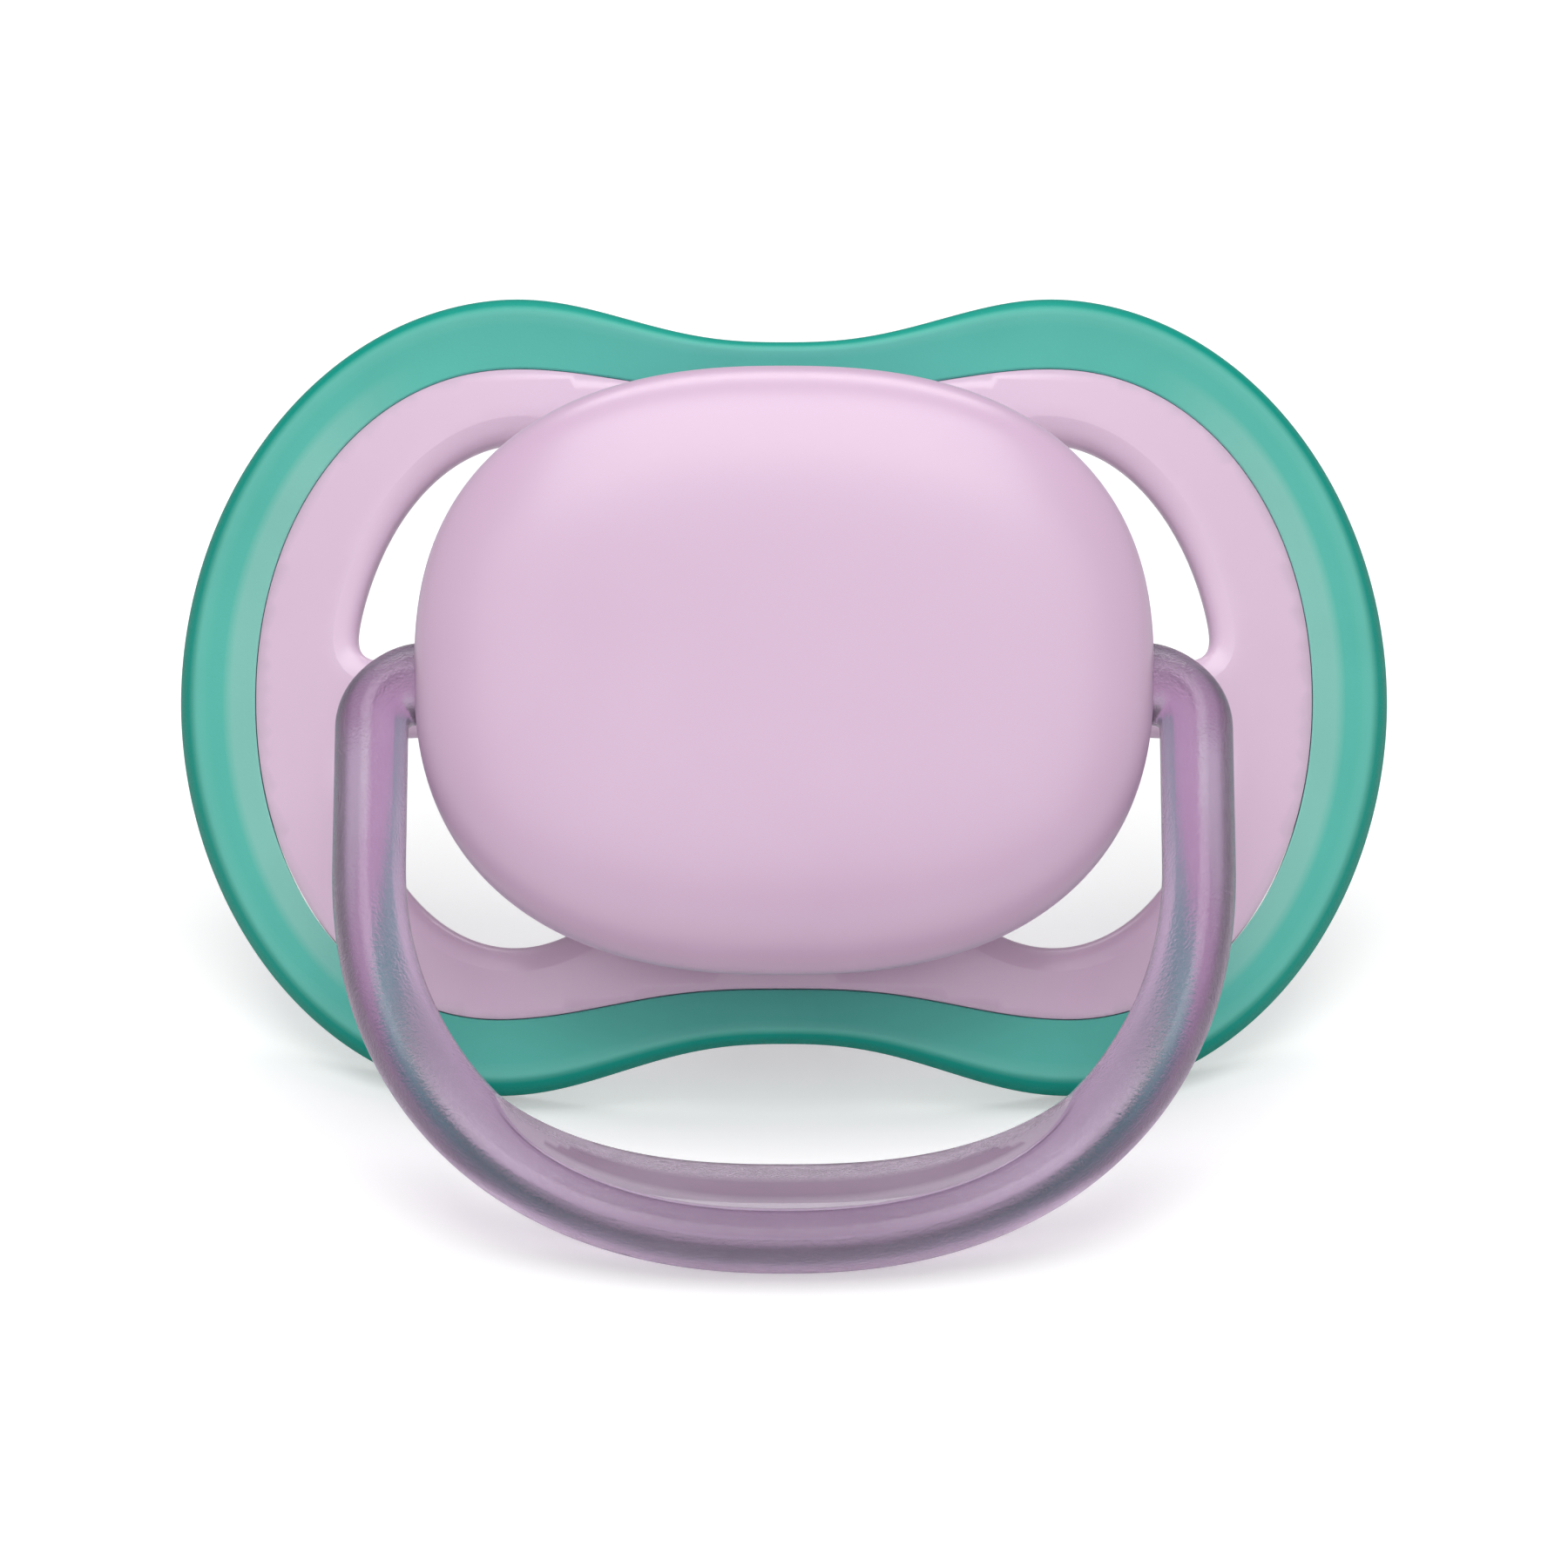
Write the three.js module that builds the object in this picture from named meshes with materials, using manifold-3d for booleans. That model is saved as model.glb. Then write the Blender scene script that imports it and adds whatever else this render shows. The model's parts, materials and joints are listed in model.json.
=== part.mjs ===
// Baby pacifier: a bowed shield with four vents, a soft rim, a hollow teat clamped by a plug,
// a front button and a swinging ring handle. Millimetres, +Z up, the face looks along -Y.
// The pacifier stands as it rests on a table: on the two lower lobes of the rim, on the tip of
// the teat behind it and on the ring, which has dropped forward. The origin is on the table,
// under the middle of the bounding box.
//
// Inside the face group, x is the width, +Z runs up the shield and -Y is outward. A height
// "out" is the distance in front of the shield's middle, so it becomes -Y.
import * as THREE from 'three';
import { mergeVertices } from 'three/addons/utils/BufferGeometryUtils.js';
import Module from 'manifold-3d';

const wasm = await Module();
wasm.setup();

// ---- driving dimensions ----
const tilt = THREE.MathUtils.degToRad(33);   // how far the shield leans back at rest
const gap = 0.3;                             // clearance between touching pieces

const bowRadius = 55;                        // the shield is bent around an upright cylinder
const plateThickness = 2;
const tongueReach = 1.5;                     // the plate's edge runs this far into the rim
const tongueFront = -0.5;
const tongueBack = -1.5;
const rimFront = 0.45;
const rimBack = -2.75;
const narrowestRim = 2.55;                   // the rim is narrowest at the waist
const rimRound = { share: 0.93, near: 0.4, far: 1.2 };   // how its outer corners are rounded

// two half-ellipse wings joined by a waist that dips in the middle; skew makes a wing widest
// a little above its middle
const rimEdge = { reach: 30, lobe: 13.6, height: 19.6, waist: 17.2, fullness: 1.97, dip: 1.3, skew: 0.035 };
const plateEdge = { reach: 26.1, lobe: 13.6, height: 16, waist: 14.65, fullness: 2.07, dip: 1.55, skew: 0.02 };
const wingSteps = 20;
const waistSteps = 12;

const vent = {
  centre: 13, width: 8.3, height: 12.5, strut: 1.9, hub: 10.2,
  end: THREE.MathUtils.degToRad(138),        // where the outer edge meets the hub
  corner: 0.16, softening: 1.2, edgeSteps: 16, hubSteps: 6,
};

const hub = { inner: 8.4, outer: 9.8, front: 3.4, root: -1.5 };
const collar = { outer: 7.9, back: -3.3 };
const neckRadius = 5.3;
const neckHole = neckRadius + 0.4;

const button = { width: 17.75, height: 14.7, rise: 0.3, base: 1, front: 9.2, wall: 1.6, squareness: 2.42 };
const buttonSteps = 48;
// share of the button's outline and height, up the skirt and over the crown
const buttonSkin = [
  [0.955, button.base], [0.985, 2.6], [1, 5.2], [0.985, 6.6], [0.94, 7.8], [0.84, 8.7], [0.68, 9.12],
];
const socket = { inner: 10.1, outer: 11.4, foot: 0.6 };
const postRadius = 3;

const pivotOut = 3.5;                        // the ring's hinge line lies this far out
const pivotDrop = 0.2;                       // and this far below the shield's middle
const trunnion = { radius: 2.05, inner: 14.4, outer: 18.4 };
const bore = { radius: 2.4, floor: 13.9, boss: 3, bossInner: 12.9 };

const ring = { halfWidth: 19.85, elbow: 2.2, straight: 9, reach: 27.95, fullness: 2.25 };
const bar = { inPlane: 1.81, thickness: 2.1, squareness: 2.4, support: 2.02, sides: 12 };
// the bar widens inward below the arms, and more where the thumb land is
const land = { halfLength: 15, rise: 1.55, flare: 0.4, flareDepth: 11, front: 1.8, back: -0.3 };
const elbowShare = 0.15;                     // share of the half line's steps round the elbow
const armShare = 0.1;                        // and down the arm

const flange = { radius: 8.1, front: 1.5 };
const bulb = { halfHeight: 6, halfWidth: 7.8, halfLength: 7, start: -0.2, steps: 8 };
const teatBore = 3.5;
const teatWall = 1.1;
const plug = { front: 3, back: 1.8, spigot: 3.1, tip: -3, chamfer: 0.8 };

// ---- materials ----
const pink = new THREE.MeshStandardMaterial({ color: '#dcbfd9', roughness: 0.45, metalness: 0 });
const teal = new THREE.MeshStandardMaterial({ color: '#63b5a9', roughness: 0.55, metalness: 0 });
const lilac = new THREE.MeshStandardMaterial({ color: '#9d7f9f', roughness: 0.35, metalness: 0 });
const silicone = new THREE.MeshStandardMaterial({ color: '#e6e9ea', roughness: 0.3, metalness: 0 });
const white = new THREE.MeshStandardMaterial({ color: '#efe9ee', roughness: 0.5, metalness: 0 });

// ---- solids ----
function toSolid(geometry) {
  const bare = geometry.clone();
  bare.deleteAttribute('normal');
  bare.deleteAttribute('uv');
  const merged = mergeVertices(bare, 1e-4);
  return new wasm.Manifold(new wasm.Mesh({
    numProp: 3,
    vertProperties: new Float32Array(merged.attributes.position.array),
    triVerts: new Uint32Array(merged.index.array),
  }));
}

function toMesh(name, solid, material) {
  const { vertProperties, triVerts } = solid.getMesh();
  const geometry = new THREE.BufferGeometry();
  geometry.setAttribute('position', new THREE.BufferAttribute(vertProperties, 3));
  geometry.setIndex(new THREE.BufferAttribute(triVerts, 1));
  geometry.computeVertexNormals();
  const mesh = new THREE.Mesh(geometry, material);
  mesh.name = name;
  return mesh;
}

function superellipse(angle, halfX, halfY, squareness) {
  const c = Math.cos(angle);
  const s = Math.sin(angle);
  const x = halfX * Math.sign(c) * Math.abs(c) ** (2 / squareness);
  const y = halfY * Math.sign(s) * Math.abs(s) ** (2 / squareness);
  return new THREE.Vector2(x, y);
}

// how far the shield's surface has dropped back at a given x (negative)
function bow(x) {
  return Math.sqrt(bowRadius ** 2 - x ** 2) - bowRadius;
}

// the outline of two wings and a dipped waist, anticlockwise from the foot of the right wing
function wingOutline({ reach, lobe, height, waist, fullness, dip, skew }) {
  const points = [];
  const addWing = (side) => {
    for (let i = 0; i < wingSteps; i += 1) {
      const p = superellipse(side * (i / wingSteps - 0.5) * Math.PI, 1, 1, fullness);
      points.push(new THREE.Vector2(side * (lobe + (reach - lobe) * p.x * (1 + skew * p.y)), height * p.y));
    }
  };
  const addWaist = (side) => {
    for (let i = 0; i < waistSteps; i += 1) {
      const x = side * lobe * Math.cos((Math.PI * i) / waistSteps);
      const rise = ((1 - Math.cos((Math.PI * x) / lobe)) / 2) ** dip;
      points.push(new THREE.Vector2(x, side * (waist + (height - waist) * rise)));
    }
  };
  addWing(1);
  addWaist(1);
  addWing(-1);
  addWaist(-1);
  return points;
}

// moves an outline outward along its own normals
function grow(outline, distance) {
  return outline.map((p, i) => {
    const next = outline[(i + 1) % outline.length];
    const previous = outline[(i + outline.length - 1) % outline.length];
    const along = next.clone().sub(previous).normalize();
    return new THREE.Vector2(p.x + along.y * distance, p.y - along.x * distance);
  });
}

// an outline drawn on the shield's face, cut right through from front to back
function prism(outline, holes = [], depth = 30) {
  const shape = new THREE.Shape(outline);
  holes.forEach((hole) => shape.holes.push(new THREE.Path(hole)));
  const geometry = new THREE.ExtrudeGeometry(shape, { depth, bevelEnabled: false });
  geometry.translate(0, 0, -depth / 2);
  geometry.rotateX(Math.PI / 2);
  return toSolid(geometry);
}

// a bent slab between two heights, taller and wider than the shield
function bentSlab(front, back) {
  const steps = 24;
  const reach = rimEdge.reach + 2;
  const xs = Array.from({ length: steps + 1 }, (_, i) => reach * ((2 * i) / steps - 1));
  const nearSide = xs.map((x) => new THREE.Vector2(x, -bow(x) - front));
  const farSide = xs.reverse().map((x) => new THREE.Vector2(x, -bow(x) - back));
  const shape = new THREE.Shape([...nearSide, ...farSide]);
  const height = 3 * rimEdge.height;
  const geometry = new THREE.ExtrudeGeometry(shape, { depth: height, bevelEnabled: false });
  geometry.translate(0, 0, -height / 2);
  return toSolid(geometry);
}

// turns a profile of [radius, out] points about the outward axis
function turned(profile, segments) {
  const geometry = new THREE.LatheGeometry(profile.map(([r, out]) => new THREE.Vector2(r, out)), segments);
  geometry.rotateX(Math.PI);
  return geometry;
}

function tube(inner, outer, back, front, segments = 36) {
  return toSolid(turned([[inner, back], [outer, back], [outer, front], [inner, front], [inner, back]], segments));
}

function disc(radius, back, front, segments = 36) {
  return toSolid(turned([[0, back], [radius, back], [radius, front], [0, front]], segments));
}

// a round bar along x, between two distances from the middle, on the ring's hinge line
function crossPin(radius, from, to, side) {
  const geometry = new THREE.CylinderGeometry(radius, radius, to - from, 28);
  geometry.rotateZ(Math.PI / 2);
  geometry.translate((side * (from + to)) / 2, -pivotOut, -pivotDrop);
  return toSolid(geometry);
}

// ---- shield ----
// one vent: the outer edge follows a wing, the inner edge the hub, the end the middle strut
function ventOutline(mirrorX, mirrorZ) {
  const { centre, width, height, strut, end, corner, softening, edgeSteps, hubSteps } = vent;
  const start = Math.asin((strut + softening) / height);
  const points = [];
  for (let i = 0; i <= edgeSteps; i += 1) {
    const angle = THREE.MathUtils.lerp(start, end, i / edgeSteps);
    points.push(new THREE.Vector2(centre + width * Math.cos(angle), height * Math.sin(angle)));
  }
  const hubStart = Math.atan2(points.at(-1).y, points.at(-1).x) - corner;
  const hubEnd = Math.asin((strut + softening) / vent.hub);
  for (let i = 0; i <= hubSteps; i += 1) {
    const angle = THREE.MathUtils.lerp(hubStart, hubEnd, i / hubSteps);
    points.push(new THREE.Vector2(vent.hub * Math.cos(angle), vent.hub * Math.sin(angle)));
  }
  points.push(new THREE.Vector2(vent.hub + softening, strut));
  points.push(new THREE.Vector2(centre + width - softening, strut));
  const placed = points.map((p) => new THREE.Vector2(p.x * mirrorX, p.y * mirrorZ));
  return mirrorX * mirrorZ > 0 ? placed : placed.reverse();
}

const outerEdge = wingOutline(rimEdge);
const innerEdge = wingOutline(plateEdge);

function makeShieldPlate() {
  const vents = [ventOutline(1, 1), ventOutline(-1, 1), ventOutline(1, -1), ventOutline(-1, -1)];
  const face = prism(grow(innerEdge, -gap), vents).intersect(bentSlab(0, -plateThickness));
  const tongue = prism(grow(innerEdge, tongueReach), [grow(innerEdge, -3)])
    .intersect(bentSlab(tongueFront, tongueBack));
  return face
    .add(tongue)
    .add(disc(hub.outer - 0.5, hub.root, 0))
    .add(tube(hub.inner, hub.outer, hub.root, hub.front))
    .add(disc(collar.outer, collar.back, hub.root))
    .subtract(disc(neckHole, collar.back - 1, 1));
}

// the rim's section: s runs from the plate's edge (0) to the outer edge (1)
function makeShieldRim() {
  const grooveEnd = (tongueReach + gap) / narrowestRim;
  const section = [
    [0, rimBack + 0.5],
    [0.12, rimBack],
    [0.8, rimBack],
    [rimRound.share, rimBack + rimRound.near],
    [1, rimBack + rimRound.far],
    [1, rimFront - rimRound.far],
    [rimRound.share, rimFront - rimRound.near],
    [0.8, rimFront],
    [0.1, rimFront - 0.1],
    [0, rimFront - 0.35],
    [0, tongueFront + gap],
    [grooveEnd, tongueFront + gap],
    [grooveEnd, tongueBack - gap],
    [0, tongueBack - gap],
    [0, rimBack + 0.5],
  ];
  const geometry = turned(section.map(([s, out]) => [1 + s, out]), outerEdge.length);
  const { position, uv } = geometry.attributes;
  for (let i = 0; i < position.count; i += 1) {
    const station = Math.round(uv.getX(i) * outerEdge.length) % outerEdge.length;
    const s = Math.hypot(position.getX(i), position.getZ(i)) - 1;
    const p = innerEdge[station].clone().lerp(outerEdge[station], s);
    position.setXYZ(i, p.x, position.getY(i) - bow(p.x), p.y);
  }
  return toSolid(geometry);
}

// ---- teat and plug ----
// the lowest line of the rim's lobes below the shield's middle, once the shield leans back
function lobeDrop() {
  const dropOf = (p, rise) => -p.y * Math.cos(tilt) - (bow(p.x) + rimBack + rise) * Math.sin(tilt);
  const backEdge = outerEdge.map((p) => dropOf(p, rimRound.far));
  const backFace = outerEdge.map((p, i) => dropOf(innerEdge[i].clone().lerp(p, rimRound.share), rimRound.near));
  return Math.max(...backEdge, ...backFace);
}

const drop = lobeDrop();
const bulbDrop = Math.hypot(bulb.halfHeight * Math.cos(tilt), bulb.halfLength * Math.sin(tilt));
const bulbOut = -(drop - bulbDrop) / Math.sin(tilt);   // puts the bulb on the same table
const tipOut = bulbOut - bulb.halfLength;

function makeTeat() {
  const bulbArc = (wall) => Array.from({ length: bulb.steps + 1 }, (_, i) => {
    const angle = THREE.MathUtils.lerp(bulb.start, Math.PI / 2, i / bulb.steps);
    return [(bulb.halfHeight - wall) * Math.cos(angle), bulbOut - (bulb.halfLength - wall) * Math.sin(angle)];
  });
  const outer = [
    [flange.radius, gap],
    [neckRadius, gap],
    [neckRadius, -4],
    [neckRadius - 0.5, -7.5],
    [neckRadius - 0.8, -11],
    [neckRadius - 0.5, -15],
    [neckRadius + 0.25, -19],
    ...bulbArc(0),
  ];
  const inner = [
    ...bulbArc(teatWall).reverse(),
    [neckRadius + 0.25 - teatWall, -19],
    [neckRadius - 0.5 - teatWall, -15],
    [neckRadius - 0.8 - teatWall, -11],
    [teatBore, -7],
    [teatBore, flange.front],
    [flange.radius, flange.front],
  ];
  const profile = [...outer, ...inner];
  const first = profile.findIndex(([r]) => Math.abs(r) < 1e-6);
  const ordered = [...profile.slice(first + 1), ...profile.slice(0, first + 1)];
  ordered[ordered.length - 1][0] = 0;
  ordered[0][0] = 0;
  const geometry = turned(ordered.reverse(), 32);
  const { position } = geometry.attributes;
  for (let i = 0; i < position.count; i += 1) {
    const out = -position.getY(i);
    const along = THREE.MathUtils.smoothstep(-out, 4, -bulbOut);
    const widen = 1 + (bulb.halfWidth / bulb.halfHeight - 1) * along;
    position.setX(i, position.getX(i) * widen);
  }
  return toSolid(geometry);
}

function makeTeatPlug() {
  return toSolid(turned([
    [0, plug.tip],
    [plug.spigot - plug.chamfer, plug.tip],
    [plug.spigot, plug.tip + plug.chamfer],
    [plug.spigot, plug.back],
    [flange.radius, plug.back],
    [flange.radius, plug.front],
    [0, plug.front],
  ], 40));
}

// ---- button ----
function pillow(profile) {
  const geometry = turned(profile, buttonSteps);
  const { position, uv } = geometry.attributes;
  for (let i = 0; i < position.count; i += 1) {
    const r = Math.hypot(position.getX(i), position.getZ(i));
    const angle = uv.getX(i) * Math.PI * 2;
    const edge = superellipse(angle, button.width, button.height, button.squareness);
    position.setXYZ(i, edge.x * r, position.getY(i), edge.y * r + button.rise);
  }
  return toSolid(geometry);
}

function makeFrontButton() {
  const wallShare = button.wall / button.height;
  const shell = pillow([
    [0, button.front - button.wall],
    [0.5, button.front - button.wall],
    [0.76, button.front - button.wall - 0.5],
    [0.86, button.front - button.wall - 1.6],
    [1 - wallShare, 4.6],
    [buttonSkin[0][0] - wallShare, button.base],
    ...buttonSkin,
    [0.5, button.front],
    [0, button.front],
  ]);
  const inside = button.front - button.wall + 0.4;
  let solid = shell
    .add(tube(socket.inner, socket.outer, socket.foot, inside))
    .add(disc(postRadius, plug.front + gap, inside));
  [-1, 1].forEach((side) => {
    solid = solid
      .add(crossPin(bore.boss, bore.bossInner, button.width - 1, side))
      .subtract(crossPin(bore.radius, bore.floor, button.width + 2, side));
  });
  return solid;
}

// ---- ring handle ----
// the centre line: out of the button, round the elbow, down the arm and round the bottom
class RingLine extends THREE.Curve {
  getPoint(t, target = new THREE.Vector3()) {
    const side = t < 0.5 ? -1 : 1;
    const s = 1 - Math.abs(2 * t - 1);
    const { halfWidth, elbow, straight, reach, fullness } = ring;
    if (s < elbowShare) {
      const angle = (s / elbowShare) * (Math.PI / 2);
      const x = halfWidth - elbow + elbow * Math.sin(angle);
      return target.set(side * x, 0, -elbow + elbow * Math.cos(angle));
    }
    const bottomStart = elbowShare + armShare;
    if (s < bottomStart) {
      return target.set(side * halfWidth, 0, THREE.MathUtils.mapLinear(s, elbowShare, bottomStart, -elbow, -straight));
    }
    const angle = ((s - bottomStart) / (1 - bottomStart)) * (Math.PI / 2);
    const p = superellipse(angle, halfWidth, reach - straight, fullness);
    return target.set(side * p.x, 0, -straight - p.y);
  }
}

// how far the bar's inner side rises toward the middle of the loop: a slow flare all along
// the bottom, and the thumb land's slope
function innerRise(x, z, out) {
  const { halfWidth, straight, reach, fullness } = ring;
  const depth = Math.max(0, -z - straight);
  const inside = 1 - (Math.abs(x) / halfWidth) ** fullness - (depth / (reach - straight)) ** fullness;
  const innerSide = THREE.MathUtils.clamp((inside * (reach - straight)) / fullness / bar.inPlane, 0, 1);
  const along = Math.max(0, 1 - (x / land.halfLength) ** 2);
  const ramp = THREE.MathUtils.clamp((land.front - out) / (land.front - land.back), 0, 1);
  const flare = land.flare * THREE.MathUtils.smoothstep(depth, 0, land.flareDepth);
  return (land.rise * along * ramp + flare) * innerSide;
}

function makeRingHandle() {
  const section = Array.from({ length: bar.sides }, (_, i) => {
    const angle = ((i + 0.5) / bar.sides) * Math.PI * 2;
    return superellipse(angle, bar.thickness, bar.inPlane, bar.squareness);
  });
  const line = new RingLine();
  line.arcLengthDivisions = 2000;
  const geometry = new THREE.ExtrudeGeometry(new THREE.Shape(section), {
    steps: 64,
    bevelEnabled: false,
    extrudePath: line,
  });
  const { position } = geometry.attributes;
  for (let i = 0; i < position.count; i += 1) {
    const rise = innerRise(position.getX(i), position.getZ(i), -position.getY(i));
    position.setZ(i, position.getZ(i) + rise);
  }
  let solid = toSolid(geometry);
  [-1, 1].forEach((side) => {
    const pin = crossPin(trunnion.radius, trunnion.inner, trunnion.outer, side);
    solid = solid.add(pin.translate([0, pivotOut, pivotDrop]));
  });
  return solid;
}

// ---- assembly ----
const group = new THREE.Group();
const face = new THREE.Group();
face.rotation.x = -tilt;
group.add(face);

face.add(toMesh('shield_plate', makeShieldPlate(), pink));
face.add(toMesh('shield_rim', makeShieldRim(), teal));
face.add(toMesh('teat', makeTeat(), silicone));
face.add(toMesh('teat_plug', makeTeatPlug(), white));
face.add(toMesh('front_button', makeFrontButton(), pink));

// the ring drops forward until its bar meets the table
const pivotHeight = drop + pivotOut * Math.sin(tilt) - pivotDrop * Math.cos(tilt);
const ringLean = Math.acos((pivotHeight - bar.support) / ring.reach);
const handle = new THREE.Group();
handle.position.set(0, -pivotOut, -pivotDrop);
handle.rotation.x = -(ringLean - tilt);
handle.add(toMesh('ring_handle', makeRingHandle(), lilac));
face.add(handle);

group.updateMatrixWorld(true);
const box = new THREE.Box3().setFromObject(group, true);
const middle = box.getCenter(new THREE.Vector3());
face.position.set(-middle.x, -middle.y, -box.min.z);
group.updateMatrixWorld(true);

export default group;
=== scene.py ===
# Baby pacifier: bowed pink shield with a teal rim, pillow button, silicone teat and a frosted
# lilac ring. Shapes are worked out in millimetres (x, up the face, out of the face) and placed
# by the frame's mounts and its hinge.
import json
from math import cos, exp, hypot, pi, radians, sin, sqrt

import bmesh
import bpy
import numpy as np
from mathutils import Matrix, Vector
from mathutils.geometry import delaunay_2d_cdt


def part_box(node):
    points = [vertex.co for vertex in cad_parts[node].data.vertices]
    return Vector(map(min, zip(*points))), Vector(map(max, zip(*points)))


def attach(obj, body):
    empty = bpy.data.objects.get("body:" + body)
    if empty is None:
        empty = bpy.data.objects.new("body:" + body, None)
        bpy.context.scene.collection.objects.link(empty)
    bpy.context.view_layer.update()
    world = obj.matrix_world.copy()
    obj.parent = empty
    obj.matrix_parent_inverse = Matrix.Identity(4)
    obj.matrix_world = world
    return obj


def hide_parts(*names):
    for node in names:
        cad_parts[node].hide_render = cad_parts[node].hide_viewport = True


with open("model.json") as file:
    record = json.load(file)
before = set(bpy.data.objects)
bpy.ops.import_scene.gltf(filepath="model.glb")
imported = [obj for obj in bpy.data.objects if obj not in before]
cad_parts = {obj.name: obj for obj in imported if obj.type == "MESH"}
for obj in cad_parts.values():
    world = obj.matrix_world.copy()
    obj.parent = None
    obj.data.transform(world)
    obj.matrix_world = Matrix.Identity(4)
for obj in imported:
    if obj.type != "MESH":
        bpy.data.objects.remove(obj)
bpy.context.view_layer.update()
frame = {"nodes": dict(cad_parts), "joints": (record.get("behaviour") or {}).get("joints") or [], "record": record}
scene = bpy.context.scene
mounts = {m["name"]: m for m in frame["record"]["mounts"]}
hinge = frame["joints"][0]
print("frame loaded:", ", ".join(sorted(frame["nodes"])))

mm = 0.001
weldDistance = 1e-7  # metres: points closer than this are one point
sliverLength = 1e-8  # and edges shorter than this are dissolved


def faceMatrix(origin, outward):
    # millimetres (x, up, out) to metres in the row frame
    out = Vector(outward).normalized()
    up = out.cross(Vector((1, 0, 0))).normalized()
    rows = Matrix((Vector((1, 0, 0)), up, out)).transposed().to_4x4()
    return Matrix.Translation(Vector(origin)) @ rows @ Matrix.Scale(mm, 4)


buttonFront = 9.2  # the button's face stands this far out of the shield's middle
buttonAxis = Vector(mounts["button_face"]["axis"])
shieldMiddle = Vector(mounts["button_face"]["pos_m"]) - buttonAxis * buttonFront * mm
faceFrame = faceMatrix(shieldMiddle, buttonAxis)
ringFrame = faceMatrix(hinge["pos_m"], mounts["ring_front_face"]["axis"])
hingeOnFace = faceFrame.inverted() @ Vector(hinge["pos_m"])  # x, up, out of the hinge line
halfShield = (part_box("shield_rim")[1].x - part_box("shield_rim")[0].x) / 2 / mm


def startMesh():
    return {"points": [], "faces": [], "marks": {}}


def addGrid(mesh, rings, around=True, along=False, marks=None):
    # rings: (stations, points, 3); quads between them, closed around and, if asked, along
    rings = np.asarray(rings, float)
    count, size = rings.shape[:2]
    base = len(mesh["points"])
    mesh["points"].extend(rings.reshape(-1, 3))
    for name, values in (marks or {}).items():
        mesh["marks"].setdefault(name, {}).update(
            {base + i: v for i, v in enumerate(np.asarray(values, float).reshape(-1))}
        )
    for i in range(count if along else count - 1):
        for j in range(size if around else size - 1):
            a, b = i, (i + 1) % count
            c, d = j, (j + 1) % size
            corners = [a * size + c, a * size + d, b * size + d, b * size + c]
            mesh["faces"].append([base + k for k in corners])


def addTriangles(mesh, points, triangles):
    base = len(mesh["points"])
    mesh["points"].extend(np.asarray(points, float))
    mesh["faces"].extend([[base + k for k in t] for t in triangles])


def buildMesh(name, mesh, matrix):
    data = bpy.data.meshes.new(name)
    data.from_pydata([tuple(matrix @ Vector(p)) for p in mesh["points"]], [], mesh["faces"])
    for markName, values in mesh["marks"].items():
        mark = data.attributes.new(markName, "FLOAT", "POINT")
        for i, v in values.items():
            mark.data[i].value = v
    bm = bmesh.new()
    bm.from_mesh(data)
    bmesh.ops.remove_doubles(bm, verts=bm.verts, dist=weldDistance)
    bmesh.ops.dissolve_degenerate(bm, edges=bm.edges, dist=sliverLength)
    bmesh.ops.recalc_face_normals(bm, faces=bm.faces)
    bm.to_mesh(data)
    bm.free()
    return data


def finishPiece(name, mesh, matrix, body, nodes, material):
    data = buildMesh(name, mesh, matrix)
    data.polygons.foreach_set("use_smooth", [True] * len(data.polygons))
    data.materials.append(material)
    piece = bpy.data.objects.new(name, data)
    scene.collection.objects.link(piece)
    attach(piece, body)
    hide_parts(*nodes)
    print("made", name, len(data.polygons), "faces")
    return piece


def superellipse(angle, halfX, halfY, squareness):
    c, s = np.cos(angle), np.sin(angle)
    x = halfX * np.sign(c) * np.abs(c) ** (2 / squareness)
    y = halfY * np.sign(s) * np.abs(s) ** (2 / squareness)
    return np.stack([x, y], -1)


def evenly(points, count, closed=True):
    # resamples a polyline at equal steps
    p = np.vstack([points, points[:1]]) if closed else np.asarray(points)
    run = np.concatenate([[0], np.cumsum(np.linalg.norm(np.diff(p, axis=0), axis=1))])
    at = np.linspace(0, run[-1], count + 1)[:-1] if closed else np.linspace(0, run[-1], count)
    return np.stack([np.interp(at, run, p[:, k]) for k in range(p.shape[1])], 1)


def offsetLoop(loop, distance):
    # moves an anticlockwise loop outward along its normals
    along = np.roll(loop, -1, 0) - np.roll(loop, 1, 0)
    along /= np.linalg.norm(along, axis=1)[:, None]
    return loop + distance * np.stack([along[:, 1], -along[:, 0]], 1)


def softenLoop(loop, passes):
    for _ in range(passes):
        loop = (np.roll(loop, 1, 0) + 2 * loop + np.roll(loop, -1, 0)) / 4
    return loop


def insideLoop(points, loop):
    x, y = points[:, 0][:, None], points[:, 1][:, None]
    ax, ay = loop[:, 0][None], loop[:, 1][None]
    bx, by = np.roll(loop[:, 0], -1)[None], np.roll(loop[:, 1], -1)[None]
    crosses = (ay > y) != (by > y)
    slope = np.where(by == ay, 1e-12, by - ay)
    return (np.sum(crosses & (x < (bx - ax) * (y - ay) / slope + ax), 1) % 2) == 1


def awayFromLoop(points, loop):
    return np.min(np.linalg.norm(points[:, None] - loop[None], axis=2), axis=1)


def smoothStep(low, high, value):
    t = min(1, max(0, (value - low) / (high - low)))
    return t * t * (3 - 2 * t)


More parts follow.
